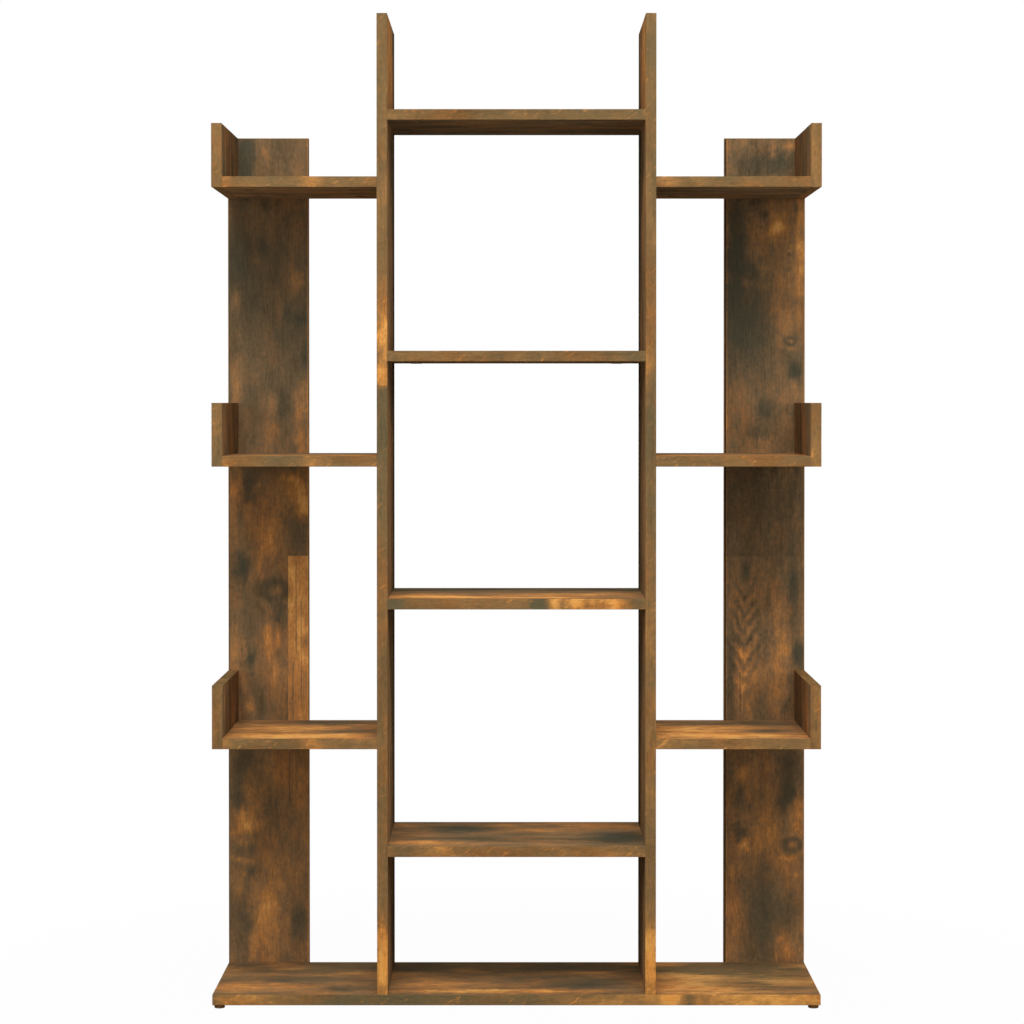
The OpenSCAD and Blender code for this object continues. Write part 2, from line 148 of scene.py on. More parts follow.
# Places where the decor turns lighter or darker, or mossy: x, z, half width, half height, then how
# far they push the tone and the moss
LEFT_PANEL_PATCHES = (
    (-0.370, 0.700, 0.0900, 0.0600, 0.15, 0.14),
    (-0.398, 0.212, 0.0120, 0.0080, -0.18, 0.34),
    (-0.408, 0.200, 0.0050, 0.0080, 0.20, -0.17),
    (-0.396, 0.190, 0.0080, 0.0100, -0.17, 0.26),
    (-0.416, 0.186, 0.0060, 0.0100, -0.17, 0.17),
    (-0.404, 0.172, 0.0090, 0.0040, 0.22, -0.17),
    (-0.370, 1.120, 0.0700, 0.0500, 0.11, 0.00),
    (-0.365, 0.930, 0.0700, 0.0900, -0.04, 0.10),
    (-0.375, 1.060, 0.0700, 0.1300, 0.00, 0.35),
    (-0.370, 0.560, 0.0900, 0.1500, 0.11, -0.10),
    (-0.370, 0.150, 0.0900, 0.2000, 0.14, 0.00),
    (-0.330, 0.715, 0.0250, 0.0300, 0.19, -0.10),
    (-0.410, 0.555, 0.0250, 0.0700, -0.15, 0.25),
    (-0.325, 0.430, 0.0200, 0.0350, -0.08, 0.10),
    (-0.350, 0.295, 0.0400, 0.0350, 0.14, 0.00),
    (-0.402, 1.223, 0.0134, 0.0358, -0.02, 0.66),
    (-0.373, 1.231, 0.0075, 0.0149, 0.13, 0.00),
    (-0.338, 1.230, 0.0269, 0.0329, -0.05, -0.05),
    (-0.408, 1.084, 0.0254, 0.1165, -0.06, 0.36),
    (-0.377, 1.090, 0.0090, 0.0179, -0.05, 0.39),
    (-0.374, 1.152, 0.0075, 0.0119, -0.05, 0.39),
    (-0.328, 1.040, 0.0149, 0.0194, 0.16, -0.21),
    (-0.389, 1.070, 0.0060, 0.0060, 0.11, 0.00),
    (-0.420, 1.007, 0.0075, 0.0209, 0.18, -0.32),
    (-0.419, 0.882, 0.0090, 0.0358, 0.19, -0.27),
    (-0.352, 0.997, 0.0060, 0.0254, 0.11, -0.10),
    (-0.340, 0.990, 0.0060, 0.0134, -0.05, 0.32),
    (-0.322, 0.979, 0.0090, 0.0134, -0.08, 0.39),
    (-0.314, 0.925, 0.0060, 0.0194, -0.10, 0.52),
    (-0.346, 0.957, 0.0209, 0.0373, -0.02, 0.20),
    (-0.395, 0.875, 0.0105, 0.0224, -0.02, 0.32),
    (-0.347, 0.852, 0.0090, 0.0269, -0.18, 0.36),
    (-0.371, 0.822, 0.0119, 0.0388, 0.14, -0.13),
    (-0.323, 0.852, 0.0105, 0.0358, 0.19, -0.19),
    (-0.320, 0.797, 0.0105, 0.0209, 0.28, -0.26),
    (-0.371, 0.934, 0.0119, 0.0329, 0.07, -0.06),
    (-0.420, 0.725, 0.0090, 0.0358, 0.18, -0.19),
    (-0.399, 0.731, 0.0105, 0.0269, -0.08, 0.71),
    (-0.384, 0.736, 0.0045, 0.0060, 0.19, 0.00),
    (-0.325, 0.740, 0.0179, 0.0209, 0.24, -0.26),
    (-0.316, 0.706, 0.0075, 0.0209, 0.23, -0.19),
    (-0.331, 0.670, 0.0164, 0.0418, -0.18, 0.16),
    (-0.373, 0.660, 0.0119, 0.0254, 0.18, -0.13),
    (-0.411, 0.610, 0.0119, 0.0224, -0.08, 0.71),
    (-0.381, 0.612, 0.0075, 0.0209, 0.18, -0.13),
    (-0.319, 0.521, 0.0090, 0.0105, 0.19, 0.00),
    (-0.320, 0.474, 0.0075, 0.0164, 0.20, 0.00),
    (-0.356, 0.539, 0.0105, 0.0149, -0.16, 0.80),
    (-0.419, 0.513, 0.0105, 0.0567, 0.14, -0.19),
    (-0.399, 0.479, 0.0105, 0.0194, -0.11, 0.80),
    (-0.356, 0.507, 0.0045, 0.0179, 0.24, -0.19),
    (-0.371, 0.504, 0.0045, 0.0224, 0.23, -0.19),
    (-0.364, 0.464, 0.0060, 0.0388, 0.16, -0.13),
    (-0.384, 0.528, 0.0155, 0.0299, -0.06, 0.10),
    (-0.395, 0.401, 0.0075, 0.0105, 0.23, -0.19),
    (-0.381, 0.406, 0.0075, 0.0239, -0.18, 0.16),
    (-0.350, 0.427, 0.0090, 0.0373, 0.11, -0.13),
    (-0.408, 0.315, 0.0209, 0.0239, -0.11, 0.56),
    (-0.319, 0.292, 0.0090, 0.0538, 0.11, -0.19),
    (-0.419, 0.271, 0.0105, 0.0224, -0.08, 0.56),
    (-0.395, 0.249, 0.0164, 0.0329, 0.20, -0.19),
    (-0.410, 0.226, 0.0179, 0.0164, 0.20, -0.19),
    (-0.359, 0.240, 0.0179, 0.0538, -0.04, 0.08),
    (-0.417, 0.176, 0.0075, 0.0037, 0.24, 0.00),
    (-0.405, 0.152, 0.0045, 0.0045, 0.24, 0.00),
    (-0.395, 0.156, 0.0090, 0.0090, -0.13, 0.64),
    (-0.347, 0.147, 0.0194, 0.0239, 0.09, -0.19),
    (-0.410, 0.083, 0.0209, 0.0418, -0.10, 0.59),
    (-0.367, 0.080, 0.0254, 0.0627, 0.14, -0.19),
    (-0.326, 0.083, 0.0149, 0.0224, -0.14, 0.44),
    (-0.395, 0.041, 0.0060, 0.0224, 0.20, -0.19),
)
RIGHT_PANEL_PATCHES = (
    (0.350, 0.960, 0.0600, 0.1700, 0.00, 0.30),
    (0.370, 0.180, 0.0900, 0.1700, 0.11, 0.08),
    (0.400, 1.125, 0.0300, 0.0400, 0.20, -0.10),
    (0.385, 0.910, 0.0400, 0.0350, -0.07, 0.05),
    (0.370, 0.300, 0.0250, 0.0350, 0.11, -0.10),
    (0.360, 0.430, 0.0300, 0.0350, 0.07, 0.00),
    (0.358, 1.211, 0.0403, 0.0209, -0.13, 0.60),
    (0.394, 1.214, 0.0179, 0.0194, -0.10, 0.56),
    (0.382, 1.231, 0.0045, 0.0149, 0.23, -0.26),
    (0.408, 1.240, 0.0090, 0.0075, 0.30, -0.38),
    (0.326, 1.218, 0.0119, 0.0224, 0.05, 0.00),
    (0.326, 1.084, 0.0134, 0.0821, -0.14, 0.80),
    (0.343, 0.976, 0.0358, 0.0508, -0.10, 0.68),
    (0.344, 1.055, 0.0164, 0.0194, -0.07, 0.48),
    (0.376, 1.111, 0.0254, 0.0284, 0.19, -0.19),
    (0.370, 1.134, 0.0067, 0.0082, -0.32, 0.16),
    (0.386, 1.116, 0.0105, 0.0090, 0.14, 0.00),
    (0.400, 1.051, 0.0254, 0.0329, 0.11, -0.19),
    (0.407, 1.078, 0.0030, 0.0030, -0.29, 0.00),
    (0.340, 1.034, 0.0060, 0.0075, 0.20, -0.26),
    (0.423, 1.073, 0.0075, 0.0896, 0.26, -0.26),
    (0.401, 0.988, 0.0209, 0.0403, 0.09, -0.20),
    (0.386, 1.004, 0.0075, 0.0179, 0.13, 0.00),
    (0.408, 0.946, 0.0164, 0.0105, 0.12, -0.13),
    (0.416, 0.904, 0.0090, 0.0149, -0.13, 0.80),
    (0.403, 0.875, 0.0149, 0.0194, 0.16, -0.19),
    (0.416, 0.873, 0.0045, 0.0134, 0.20, 0.00),
    (0.373, 0.846, 0.0130, 0.0170, -0.06, 0.55),
    (0.360, 0.811, 0.0150, 0.0075, -0.09, 0.30),
    (0.371, 0.791, 0.0119, 0.0105, 0.17, -0.13),
    (0.334, 0.822, 0.0194, 0.0448, 0.07, -0.07),
    (0.352, 0.721, 0.0254, 0.0329, -0.09, 0.00),
    (0.401, 0.703, 0.0179, 0.0597, 0.05, 0.00),
    (0.344, 0.607, 0.0090, 0.0149, -0.10, 0.64),
    (0.413, 0.553, 0.0090, 0.0747, -0.10, 0.56),
    (0.414, 0.586, 0.0060, 0.0224, -0.07, 0.32),
    (0.422, 0.482, 0.0090, 0.0164, -0.13, 0.80),
    (0.337, 0.483, 0.0075, 0.0090, 0.19, -0.13),
    (0.346, 0.500, 0.0075, 0.0090, -0.20, 0.16),
    (0.394, 0.489, 0.0164, 0.0777, 0.20, -0.26),
    (0.391, 0.444, 0.0134, 0.0299, 0.11, -0.13),
    (0.340, 0.421, 0.0134, 0.0388, 0.20, -0.19),
    (0.320, 0.450, 0.0067, 0.0687, -0.18, 0.28),
    (0.340, 0.301, 0.0090, 0.0134, 0.20, -0.19),
    (0.408, 0.313, 0.0194, 0.0254, -0.03, 0.65),
    (0.335, 0.264, 0.0075, 0.0299, -0.15, 0.25),
    (0.404, 0.268, 0.0134, 0.0224, -0.10, 0.71),
    (0.417, 0.241, 0.0105, 0.0299, 0.22, -0.19),
    (0.335, 0.216, 0.0179, 0.0119, -0.13, 0.71),
    (0.340, 0.194, 0.0075, 0.0105, 0.23, -0.19),
    (0.376, 0.222, 0.0134, 0.0403, 0.14, -0.13),
    (0.406, 0.176, 0.0119, 0.0037, 0.24, 0.00),
    (0.419, 0.150, 0.0045, 0.0045, 0.24, 0.00),
    (0.362, 0.125, 0.0269, 0.0478, -0.14, 0.39),
    (0.362, 0.058, 0.0269, 0.0418, -0.06, 0.50),
    (0.322, 0.095, 0.0075, 0.0777, 0.08, 0.10),
    (0.408, 0.097, 0.0194, 0.0254, -0.11, 0.52),
    (0.401, 0.043, 0.0224, 0.0269, 0.17, -0.19),
    (0.394, 0.053, 0.0060, 0.0060, 0.16, 0.00),
)
UPRIGHT_PATCHES = (
    # Painted light: both lighten the tops of the uprights' inner faces above the top shelf, set
    # against the painted rear shade
    (-0.182, 1.345, 0.0200, 0.0800, 0.22, -0.40),
    (0.182, 1.345, 0.0200, 0.0800, 0.20, -0.20),
)
VERTICAL_EDGE_PATCHES = (
    (-0.187, 0.955, 0.0120, 0.0300, 0.40, -0.50),
    (-0.187, 0.903, 0.0120, 0.0260, 0.32, -0.60),
    (-0.187, 0.818, 0.0120, 0.0900, -0.14, 0.50),
    (-0.187, 0.072, 0.0120, 0.0500, 0.48, -0.60),
    (0.187, 0.072, 0.0120, 0.0500, 0.48, -0.60),
    (-0.187, 0.600, 0.0120, 0.0700, 0.03, -0.10),
    (-0.187, 1.145, 0.0120, 0.0250, 0.12, -0.20),
    (-0.187, 1.260, 0.0300, 0.1500, -0.06, 0.05),
    (0.187, 1.340, 0.0120, 0.0500, -0.07, 0.30),
    (0.187, 1.200, 0.0120, 0.0800, 0.00, -0.10),
    (0.187, 0.916, 0.0120, 0.0250, 0.12, -0.20),
    (0.187, 0.785, 0.0120, 0.0900, -0.10, 0.45),
    (0.187, 0.580, 0.0120, 0.0700, 0.05, -0.20),
    (0.187, 0.350, 0.0120, 0.0900, 0.05, -0.20),
    (-0.422, 0.818, 0.0110, 0.0560, 0.10, -0.20),
    (0.422, 0.804, 0.0110, 0.0560, 0.12, -0.30),
    (-0.422, 1.205, 0.0110, 0.0560, 0.06, 0.00),
    (0.422, 1.205, 0.0110, 0.0560, 0.06, 0.00),
    (-0.422, 0.412, 0.0110, 0.0560, 0.10, 0.00),
    (0.422, 0.412, 0.0110, 0.0560, 0.08, 0.00),
)
SHELF_EDGE_PATCHES = (
    (-0.170, 0.574, 0.0200, 0.0200, -0.08, 0.50),
    (-0.040, 0.574, 0.0500, 0.0200, 0.04, 0.10),
    (0.032, 0.574, 0.0120, 0.0200, -0.10, 0.90),
    (0.056, 0.574, 0.0080, 0.0200, 0.40, -0.60),
    (0.082, 0.574, 0.0110, 0.0200, 0.52, -0.60),
    (0.108, 0.574, 0.0130, 0.0200, 0.30, -0.40),
    (0.138, 0.574, 0.0140, 0.0200, 0.42, -0.60),
    (0.174, 0.574, 0.0110, 0.0200, -0.08, 0.40),
    (-0.164, 0.225, 0.0160, 0.0300, -0.06, 0.30),
    (-0.108, 0.225, 0.0160, 0.0300, 0.16, -0.30),
    (0.140, 0.225, 0.0400, 0.0300, 0.06, -0.20),
    (-0.108, 1.090, 0.0160, 0.3000, 0.06, -0.10),
    (0.005, 1.090, 0.0180, 0.3000, 0.08, -0.20),
    (0.168, 1.090, 0.0160, 0.3000, -0.08, 0.40),
    (-0.415, 0.870, 0.0140, 0.7500, 0.12, -0.20),
    (-0.333, 0.870, 0.0300, 0.7500, -0.06, 0.35),
    (-0.291, 0.870, 0.0130, 0.7500, 0.16, -0.30),
    (-0.249, 0.870, 0.0160, 0.7500, -0.04, 0.10),
    (0.215, 1.180, 0.0140, 0.0300, 0.14, -0.20),
    (0.259, 1.180, 0.0120, 0.0300, 0.14, 0.10),
    (0.330, 0.870, 0.0200, 0.7500, 0.02, 0.00),
    (-0.375, 0.014, 0.0450, 0.0300, 0.10, -0.10),
    (-0.200, 0.014, 0.1000, 0.0300, -0.14, 0.55),
    (-0.030, 0.014, 0.0900, 0.0300, -0.08, 0.20),
    (0.120, 0.014, 0.0600, 0.0300, 0.08, -0.20),
    (0.216, 0.014, 0.0130, 0.0300, 0.36, -0.40),
    (0.245, 0.014, 0.0080, 0.0300, -0.20, 0.30),
    (0.360, 0.014, 0.1100, 0.0400, 0.31, -0.25),
    (0.000, 0.014, 0.5000, 0.0400, 0.23, 0.24),
    (0.000, 1.264, 0.2000, 0.0300, -0.20, -0.10),
    (0.000, 0.225, 0.2000, 0.0300, 0.05, 0.00),
    (-0.306, 0.376, 0.1300, 0.0500, 0.15, 0.05),
    (0.306, 0.376, 0.1300, 0.0500, 0.14, 0.05),
)

# The same on the tops of level boards: x, y, z, half width, half depth, tone, moss. Some broad
# lighter patches on whole tops or their fronts are painted light, and a darker rear strip is
# painted shade
TOP_PATCHES = (
    # Painted light down to the next comment: broad lighter patches on whole tops and on their
    # fronts; the darker strip at the rear of the top at 0.58 m is painted shade
    (-0.306, 0.000, 0.3825, 0.200, 0.170, 0.24, -0.20),
    (0.306, 0.000, 0.3825, 0.200, 0.170, 0.28, -0.20),
    (0.000, -0.040, 0.0200, 0.700, 0.120, 0.12, 0.12),
    (0.000, 0.080, 0.5800, 0.300, 0.034, -0.22, 0.10),
    (0.000, -0.065, 0.5800, 0.300, 0.058, 0.22, -0.70),
    (0.000, -0.060, 0.7815, 0.700, 0.090, 0.28, -0.20),
    # Patches of the decor itself
    (-0.120, -0.085, 0.5800, 0.080, 0.030, 0.42, -0.50),
    (0.020, -0.100, 0.5800, 0.090, 0.018, 0.30, -0.40),
    (0.130, -0.020, 0.5800, 0.060, 0.030, 0.25, -0.40),
    (0.000, 0.080, 0.0200, 0.700, 0.060, 0.44, 0.72),
    (0.340, 0.000, 0.0200, 0.120, 0.090, 0.05, 0.18),
    # Painted light: broad lighter patches on the tops at 0.23 m and 1.1605 m
    (0.000, 0.060, 0.2300, 0.300, 0.080, 0.12, 0.00),
    (-0.306, 0.000, 1.1605, 0.250, 0.250, 0.09, 0.00),
    # Patches of the decor itself
    (-0.376, 0.067, 0.3825, 0.052, 0.038, 0.04, 0.20),
    (-0.276, 0.080, 0.3825, 0.074, 0.032, -0.15, 0.90),
    (-0.330, 0.003, 0.3825, 0.102, 0.037, 0.18, -0.40),
    (-0.240, -0.028, 0.3825, 0.043, 0.025, -0.20, 0.60),
    (-0.308, -0.095, 0.3825, 0.107, 0.031, 0.40, -0.60),
    (0.257, 0.073, 0.3825, 0.052, 0.032, -0.10, 0.60),
    (0.360, 0.067, 0.3825, 0.066, 0.045, -0.15, 0.90),
    (0.251, -0.022, 0.3825, 0.058, 0.049, 0.25, -0.50),
    (0.366, -0.028, 0.3825, 0.043, 0.025, -0.20, 0.70),
    (0.296, -0.095, 0.3825, 0.114, 0.031, 0.40, -0.60),
    (-0.387, 0.069, 0.0200, 0.033, 0.037, -0.02, 0.45),
    (-0.276, 0.069, 0.0200, 0.067, 0.044, 0.02, 0.40),
    (-0.330, 0.004, 0.0200, 0.087, 0.036, 0.00, 0.10),
    (-0.332, -0.053, 0.0200, 0.022, 0.014, 0.20, -0.30),
    (-0.251, -0.087, 0.0200, 0.036, 0.021, -0.10, 0.50),
    (-0.128, 0.069, 0.0200, 0.059, 0.037, -0.20, 0.20),
    (0.064, 0.069, 0.0200, 0.103, 0.037, -0.20, 0.30),
    (-0.124, -0.053, 0.0200, 0.043, 0.014, 0.20, -0.30),
    (-0.023, -0.101, 0.0200, 0.156, 0.014, 0.35, -0.50),
    (0.120, -0.053, 0.0200, 0.057, 0.035, -0.12, 0.50),
    (-0.083, 0.049, 0.2300, 0.051, 0.039, -0.15, 0.80),
    (0.079, 0.069, 0.2300, 0.103, 0.049, 0.10, -0.30),
    (0.149, -0.046, 0.2300, 0.043, 0.055, -0.18, 0.90),
    (-0.123, -0.092, 0.2300, 0.064, 0.027, 0.40, -0.50),
    (0.330, 0.050, 0.0200, 0.080, 0.050, 0.12, 0.48),
    (0.360, -0.020, 0.0200, 0.060, 0.030, 0.20, 0.22),
    (0.310, -0.030, 0.0200, 0.130, 0.110, 0.33, 0.32),
    (0.260, 0.010, 0.0200, 0.050, 0.030, 0.20, -0.40),
    (0.300, -0.100, 0.0200, 0.110, 0.020, 0.25, -0.30),
    (-0.390, -0.070, 0.0200, 0.040, 0.040, 0.20, -0.30),
)
# Half height of these patches, so that each stays on its own board
TOP_REACH = 0.012
# How far the outlines of patches wander along each axis, on upright and on level faces, and which
# share of it those of small patches and knots, and of arches, wander
UPRIGHT_RAGGED = (0.036, 0.036, 0.060)
LEVEL_RAGGED = (0.060, 0.036, 0.000)
WAVY_SHARE = 0.3
ARCH_WAVY_SHARE = 0.6
# A patch is small when half its width or height is less than this
SMALL_PATCH = 0.0095
# The uprights' inner faces get painted shade, darker towards the rear: in tone and in a shade
# factor between these places in y, and only nearer to the middle than these distances in x. The
# tone falls by the painted shade's strength, and the shade factor changes by REAR_SHADE times it.
REAR_SHADE_TONE_REACH = (0.000, 0.110)
REAR_REACH = (0.055, 0.108)
INNER_FACE = (0.185, 0.194)
REAR_SHADE = -2.0

# Planks and straight lines of the printed pattern, and dark lines of painted shade along the back
# panels' edges: x and z limits, shift of tone and of moss, and the jump of the pattern in each
LEFT_PANEL_PLANKS = (
    ((-0.430, -0.389, 1.185, 1.260), 0.0, 0.25, 0.31),
    ((-0.341, -0.300, 0.359, 0.628), 0.30, -0.3, 0.57),
    # Painted shade: a dark line along the panel's outer edge
    ((-0.431, -0.4285, 0.0, 1.260), -0.50, -0.2, 0.0),
    ((-0.3120, -0.3095, 0.0, 1.260), 0.16, -0.4, 0.0),
    ((-0.3300, -0.3282, 0.480, 0.620), -0.26, 0.0, 0.0),
    ((-0.3220, -0.3205, 0.400, 0.560), -0.24, 0.0, 0.0),
    ((-0.3345, -0.3330, 0.360, 0.470), -0.24, 0.0, 0.0),
    ((-0.3400, -0.3385, 0.262, 0.335), -0.20, 0.2, 0.0),
    ((-0.3330, -0.3318, 0.255, 0.335), 0.14, 0.0, 0.0),
)
RIGHT_PANEL_PLANKS = (
    ((0.300, 0.440, 0.627, 0.777), -0.05, 0.2, 0.0),
    ((0.300, 0.440, 0.0, 0.627), 0.02, 0.0, 0.43),
    # Painted shade: a dark line along the panel's inner edge
    ((0.309, 0.3128, 0.0, 1.260), -0.80, -0.3, 0.0),
    ((0.3125, 0.3145, 0.0, 1.260), 0.12, -0.4, 0.0),
    ((0.4278, 0.431, 0.0, 1.260), 0.10, -0.2, 0.0),
    ((0.3335, 0.3350, 0.395, 0.455), -0.26, 0.0, 0.0),
)
UPRIGHT_EDGE_PLANKS = (
    ((-0.198, -0.181, 0.881, 0.905), 0.16, -0.3, 0.0),
    ((-0.198, -0.181, 0.858, 0.881), -0.08, 0.1, 0.0),
    ((-0.198, -0.181, 0.020, 0.114), 0.10, -0.2, 0.0),
    ((0.181, 0.198, 0.020, 0.114), 0.10, -0.2, 0.0),
)
# Knots: x, z and radius. Cathedral grain: x, z, half width, half height, pitch, slope, strength
LEFT_PANEL_KNOTS = ((-0.361, 0.577, 0.022),)
RIGHT_PANEL_KNOTS = ((0.412, 0.195, 0.014), (0.409, 0.950, 0.010))
RIGHT_PANEL_ARCHES = ((0.341, 0.505, 0.026, 0.095, 0.026, 1.6, 0.13),)


def linear(colour):
    """An 8-bit sRGB colour as the linear RGBA that shader sockets take."""
    shares = [value / 255.0 for value in colour]
    low = [share / 12.92 for share in shares]
    high = [((share + 0.055) / 1.055) ** 2.4 for share in shares]
    return tuple(l if s <= 0.04045 else h for s, l, h in zip(shares, low, high)) + (1.0,)


class Shader:
    """Adds and links the nodes of one material or world."""

    def __init__(self, owner):
        self.owner = owner
        self.owner.use_nodes = True
        self.tree = self.owner.node_tree
        self.tree.nodes.clear()

    def add(self, kind, *inputs, **settings):
        """A new node with its settings, and with inputs put into its first sockets."""
        node = self.tree.nodes.new(kind)
        for name, value in settings.items():
            setattr(node, name, value)
        for socket, value in zip(node.inputs, inputs):
            self.put(socket, value)
        return node

    def put(self, socket, value):
        """Links an output to a socket, or sets the socket's own value."""
        if isinstance(value, bpy.types.NodeSocket):
            self.tree.links.new(value, socket)
        elif value is not None:
            socket.default_value = value

    def place(self):
        """The place on the bookcase, in metres."""
        return self.add("ShaderNodeTexCoord").outputs["Object"]

    def math(self, operation, *inputs):
        return self.add("ShaderNodeMath", *inputs, operation=operation).outputs[0]

    def vector(self, operation, *inputs):
        """The result of a vector operation, which is a number for LENGTH."""
        node = self.add("ShaderNodeVectorMath", *inputs, operation=operation)
        return node.outputs["Value" if operation == "LENGTH" else "Vector"]

    def scaled(self, vector, factor):
        node = self.add("ShaderNodeVectorMath", vector, operation="SCALE")
        self.put(node.inputs["Scale"], factor)
        return node.outputs["Vector"]

    def noise(self, place, scale, detail, roughness=0.55):
        """Noise from 0 to 1 at a scale, per metre, along each axis of place."""
        node = self.add("ShaderNodeTexNoise")
        self.put(node.inputs["Vector"], self.vector("MULTIPLY", place, scale))
        self.put(node.inputs["Scale"], 1.0)
        self.put(node.inputs["Detail"], detail)
        self.put(node.inputs["Roughness"], roughness)
        return node

    def swing(self, value, size, middle=0.0):
        """A value from 0 to 1 spread over a size round a middle."""
        return self.math("MULTIPLY_ADD", value, size, middle - 0.5 * size)

    def wander(self, colour, reach):
        """A noise colour as an offset, spread over a reach along each axis."""
        return self.vector("MULTIPLY_ADD", colour, reach, [-0.5 * size for size in reach])

    def step(self, value, low, high, out_low=0.0, out_high=1.0):
        """A smooth step from out_low to out_high while value goes from low to high."""
        node = self.add("ShaderNodeMapRange", interpolation_type="SMOOTHSTEP")
        for name, number in (("Value", value), ("From Min", low), ("From Max", high),
                             ("To Min", out_low), ("To Max", out_high)):
            self.put(node.inputs[name], number)
        return node.outputs[0]

    def ramp(self, factor, stops):
        """A colour ramp with stops as place and 8-bit colour."""
        node = self.add("ShaderNodeValToRGB", factor)
        elements = node.color_ramp.elements
        while len(elements) < len(stops):
            elements.new(0.5)
        for element, (place, colour) in zip(elements, stops):
            element.position = place
            element.color = linear(colour)
        return node.outputs["Color"]

    def mix(self, factor, one, two, kind="RGBA", blend="MIX"):
        """A mix of two colours, or of two vectors."""
        node = self.add("ShaderNodeMix", factor, data_type=kind, blend_type=blend)
        first, second, result = MIX_SOCKETS[kind]
        self.put(node.inputs[first], one)
        self.put(node.inputs[second], two)
        return node.outputs[result]

    def bump(self, height, strength, distance):
        node = self.add("ShaderNodeBump")
        self.put(node.inputs["Strength"], strength)
        self.put(node.inputs["Distance"], distance)
        self.put(node.inputs["Height"], height)
        return node.outputs["Normal"]

    def finish(self, colour, roughness, normal, metallic=0.0, specular=0.5):
        """Links the surface and gives the material."""
        surface = self.add("ShaderNodeBsdfPrincipled")
        self.put(surface.inputs["Base Color"], colour)
        self.put(surface.inputs["Roughness"], roughness)
        self.put(surface.inputs["Metallic"], metallic)
        self.put(surface.inputs["Specular IOR Level"], specular)
        self.put(surface.inputs["Normal"], normal)
        self.output("ShaderNodeOutputMaterial", surface)
        return self.owner

    def output(self, kind, surface):
        self.put(self.add(kind).inputs["Surface"], surface.outputs[0])


def new_shader(name):
    """The nodes of a new material."""
    return Shader(bpy.data.materials.new(name))


def near(sh, place, centre, radii):
    """How far place is from centre, in radii. An axis whose radius is None doesn't count."""
    scale = [0.0 if radius is None else 1.0 / radius for radius in radii]
    offset = [-c * s for c, s in zip(centre, scale)]
    return sh.vector("LENGTH", sh.vector("MULTIPLY_ADD", place, scale, offset))


def standing(rows):
    """Patches on upright faces, as centre, radii, tone and moss."""
    return [((x, 0.0, z), (w, None, h), tone, moss) for x, z, w, h, tone, moss in rows]


def lying(rows):
    """Patches on the tops of level boards, as centre, radii, tone and moss."""
    return [((x, y, z), (w, d, TOP_REACH), tone, moss) for x, y, z, w, d, tone, moss in rows]


def add_patches(sh, ragged_place, wavy_place, strength, tone, mossy, patches):
    """Adds soft patches of a varying strength to the tone and the moss."""
    for centre, radii, tone_push, moss_push in patches:
        small = radii[0] < SMALL_PATCH or radii[2] < SMALL_PATCH
        away = near(sh, wavy_place if small else ragged_place, centre, radii)
        mask = sh.math("MULTIPLY", sh.step(away, *PATCH_EDGE), strength)
        if tone_push:
            tone = sh.math("MULTIPLY_ADD", mask, tone_push, tone)
        if moss_push:
            mossy = sh.math("MULTIPLY_ADD", mask, moss_push, mossy)
    return tone, mossy


def add_arches(sh, place, tone, rows):
    """Adds the chevrons of cathedral grain to the tone."""
    parts = sh.add("ShaderNodeSeparateXYZ", place).outputs
    for x, z, half_w, half_h, pitch, slope, strength in rows:
        mask = sh.step(near(sh, place, (x, 0.0, z), (half_w, None, half_h)), *ARCH_EDGE)
        aside = sh.math("ABSOLUTE", sh.math("SUBTRACT", parts[0], x))
        climb = sh.math("MULTIPLY_ADD", aside, -slope, parts[2])
        wave = sh.math("SINE", sh.math("MULTIPLY", climb, 2.0 * math.pi / pitch))
        tone = sh.math("MULTIPLY_ADD", sh.math("MULTIPLY", wave, strength), mask, tone)
    return tone


def bend_round_knots(sh, place, wavy_place, knots):
    """place drawn in towards each knot, and the shifts of tone and moss on the knots' rims."""
    bent = place
    tone_shift = 0.0
    moss_shift = 0.0
    for x, z, radius in knots:
        away = near(sh, wavy_place, (x, 0.0, z), (radius, None, radius * KNOT_FLATTENING))
        pull = sh.step(away, *KNOT_REACH, 0.0, KNOT_PULL)
        towards = sh.vector("MULTIPLY_ADD", place, (1.0, 0.0, 1.0), (-x, 0.0, -z))
        bent = sh.vector("ADD", bent, sh.scaled(towards, pull))
        rim = sh.math("MULTIPLY", sh.step(away, *KNOT_RIM_INSIDE), sh.step(away, *KNOT_RIM_OUTSIDE))
        tone_shift = sh.math("MULTIPLY_ADD", rim, KNOT_TONE, tone_shift)
        moss_shift = sh.math("MULTIPLY_ADD", rim, KNOT_MOSS, moss_shift)
    return bent, tone_shift, moss_shift


def plank_mask(sh, place, plank):
    """One inside a plank given as x and z limits, and zero outside."""
    x0, x1, z0, z1 = plank
    scale = (2.0 / (x1 - x0), 0.0, 2.0 / (z1 - z0))
    offset = (-(x0 + x1) / (x1 - x0), 0.0, -(z0 + z1) / (z1 - z0))
    inside = sh.vector("ABSOLUTE", sh.vector("MULTIPLY_ADD", place, scale, offset))
    parts = sh.add("ShaderNodeSeparateXYZ", inside)
    return sh.math("LESS_THAN", sh.math("MAXIMUM", parts.outputs[0], parts.outputs[2]), 1.0)


def add_planks(sh, place, grain, tone_shift, moss_shift, planks):
    """Moves the grain to another part of the pattern in each plank, and shifts tone and moss."""
    for limits, tone_push, moss_push, jump in planks:
        mask = plank_mask(sh, place, limits)
        tone_shift = sh.math("MULTIPLY_ADD", mask, tone_push, tone_shift)
        moss_shift = sh.math("MULTIPLY_ADD", mask, moss_push, moss_shift)
        move = [jump * share for share in JUMP_SHARES]
        grain = sh.vector("ADD", grain, sh.scaled(move, mask))
    return grain, tone_shift, moss_shift


